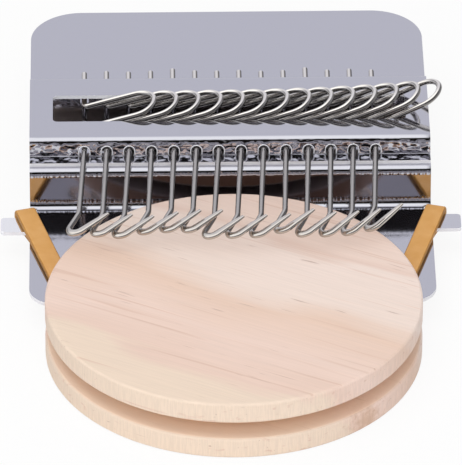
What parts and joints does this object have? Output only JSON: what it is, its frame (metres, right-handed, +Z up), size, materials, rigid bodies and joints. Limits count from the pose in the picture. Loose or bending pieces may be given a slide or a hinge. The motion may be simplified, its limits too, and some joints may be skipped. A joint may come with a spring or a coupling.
{
  "type": "darning loom",
  "caption": "Small darning loom: a grooved wooden disc held in a forked steel frame by a rubber band, with a row of wire hooks that flip together in a slotted cover.",
  "frame": {"origin": "centre of the disc's underside", "axes": "+Z up out of the disc's top; +Y back along the base plate, so that the hooks point towards -Y; +X to the right with the disc in front"},
  "size_m": [0.095, 0.1434, 0.0248],
  "materials": {
    "pine": "sanded bare wood",
    "sheet_steel": "polished",
    "steel_wire": "drawn, satin",
    "amber_rubber": "satin"
  },
  "bodies": {
    "disc": {"wooden_disc": "pine"},
    "loom_frame": {"base_plate": "sheet_steel", "hook_cover": "sheet_steel", "rubber_band": "amber_rubber"},
    "hook_01": {"hook_01": "steel_wire"},
    "hook_02": {"hook_02": "steel_wire"},
    "hook_03": {"hook_03": "steel_wire"},
    "hook_04": {"hook_04": "steel_wire"},
    "hook_05": {"hook_05": "steel_wire"},
    "hook_06": {"hook_06": "steel_wire"},
    "hook_07": {"hook_07": "steel_wire"},
    "hook_08": {"hook_08": "steel_wire"},
    "hook_09": {"hook_09": "steel_wire"},
    "hook_10": {"hook_10": "steel_wire"},
    "hook_11": {"hook_11": "steel_wire"},
    "hook_12": {"hook_12": "steel_wire"},
    "hook_13": {"hook_13": "steel_wire"},
    "hook_14": {"hook_14": "steel_wire"}
  },
  "joints": [
    {"name": "frame_slide", "type": "slide", "parent": "disc", "child": "loom_frame", "axis": [0, 1, 0], "range_m": [0, 0.034], "stiffness_N_per_m": 200, "springref_m": -0.02, "deforming": ["rubber_band"]},
    {"name": "hook_01_flip", "type": "hinge", "parent": "loom_frame", "child": "hook_01", "pos_m": [-0.03016, 0.06, 0.01733], "axis": [0, -1, 0], "range_deg": [0, 130]},
    {"name": "hook_02_flip", "type": "hinge", "parent": "loom_frame", "child": "hook_02", "pos_m": [-0.02552, 0.06, 0.01733], "axis": [0, -1, 0], "range_deg": [0, 130]},
    {"name": "hook_03_flip", "type": "hinge", "parent": "loom_frame", "child": "hook_03", "pos_m": [-0.02088, 0.06, 0.01733], "axis": [0, -1, 0], "range_deg": [0, 130]},
    {"name": "hook_04_flip", "type": "hinge", "parent": "loom_frame", "child": "hook_04", "pos_m": [-0.01624, 0.06, 0.01733], "axis": [0, -1, 0], "range_deg": [0, 130]},
    {"name": "hook_05_flip", "type": "hinge", "parent": "loom_frame", "child": "hook_05", "pos_m": [-0.0116, 0.06, 0.01733], "axis": [0, -1, 0], "range_deg": [0, 130]},
    {"name": "hook_06_flip", "type": "hinge", "parent": "loom_frame", "child": "hook_06", "pos_m": [-0.00696, 0.06, 0.01733], "axis": [0, -1, 0], "range_deg": [0, 130]},
    {"name": "hook_07_flip", "type": "hinge", "parent": "loom_frame", "child": "hook_07", "pos_m": [-0.00232, 0.06, 0.01733], "axis": [0, -1, 0], "range_deg": [0, 130]},
    {"name": "hook_08_flip", "type": "hinge", "parent": "loom_frame", "child": "hook_08", "pos_m": [0.00232, 0.06, 0.01733], "axis": [0, -1, 0], "range_deg": [0, 130]},
    {"name": "hook_09_flip", "type": "hinge", "parent": "loom_frame", "child": "hook_09", "pos_m": [0.00696, 0.06, 0.01733], "axis": [0, -1, 0], "range_deg": [0, 130]},
    {"name": "hook_10_flip", "type": "hinge", "parent": "loom_frame", "child": "hook_10", "pos_m": [0.0116, 0.06, 0.01733], "axis": [0, -1, 0], "range_deg": [0, 130]},
    {"name": "hook_11_flip", "type": "hinge", "parent": "loom_frame", "child": "hook_11", "pos_m": [0.01624, 0.06, 0.01733], "axis": [0, -1, 0], "range_deg": [0, 130]},
    {"name": "hook_12_flip", "type": "hinge", "parent": "loom_frame", "child": "hook_12", "pos_m": [0.02088, 0.06, 0.01733], "axis": [0, -1, 0], "range_deg": [0, 130]},
    {"name": "hook_13_flip", "type": "hinge", "parent": "loom_frame", "child": "hook_13", "pos_m": [0.02552, 0.06, 0.01733], "axis": [0, -1, 0], "range_deg": [0, 130]},
    {"name": "hook_14_flip", "type": "hinge", "parent": "loom_frame", "child": "hook_14", "pos_m": [0.03016, 0.06, 0.01733], "axis": [0, -1, 0], "range_deg": [0, 130]}
  ],
  "couplings": [
    {"joint": "hook_02_flip", "follows": "hook_01_flip", "ratio": 1},
    {"joint": "hook_03_flip", "follows": "hook_01_flip", "ratio": 1},
    {"joint": "hook_04_flip", "follows": "hook_01_flip", "ratio": 1},
    {"joint": "hook_05_flip", "follows": "hook_01_flip", "ratio": 1},
    {"joint": "hook_06_flip", "follows": "hook_01_flip", "ratio": 1},
    {"joint": "hook_07_flip", "follows": "hook_01_flip", "ratio": 1},
    {"joint": "hook_08_flip", "follows": "hook_01_flip", "ratio": 1},
    {"joint": "hook_09_flip", "follows": "hook_01_flip", "ratio": 1},
    {"joint": "hook_10_flip", "follows": "hook_01_flip", "ratio": 1},
    {"joint": "hook_11_flip", "follows": "hook_01_flip", "ratio": 1},
    {"joint": "hook_12_flip", "follows": "hook_01_flip", "ratio": 1},
    {"joint": "hook_13_flip", "follows": "hook_01_flip", "ratio": 1},
    {"joint": "hook_14_flip", "follows": "hook_01_flip", "ratio": 1}
  ]
}
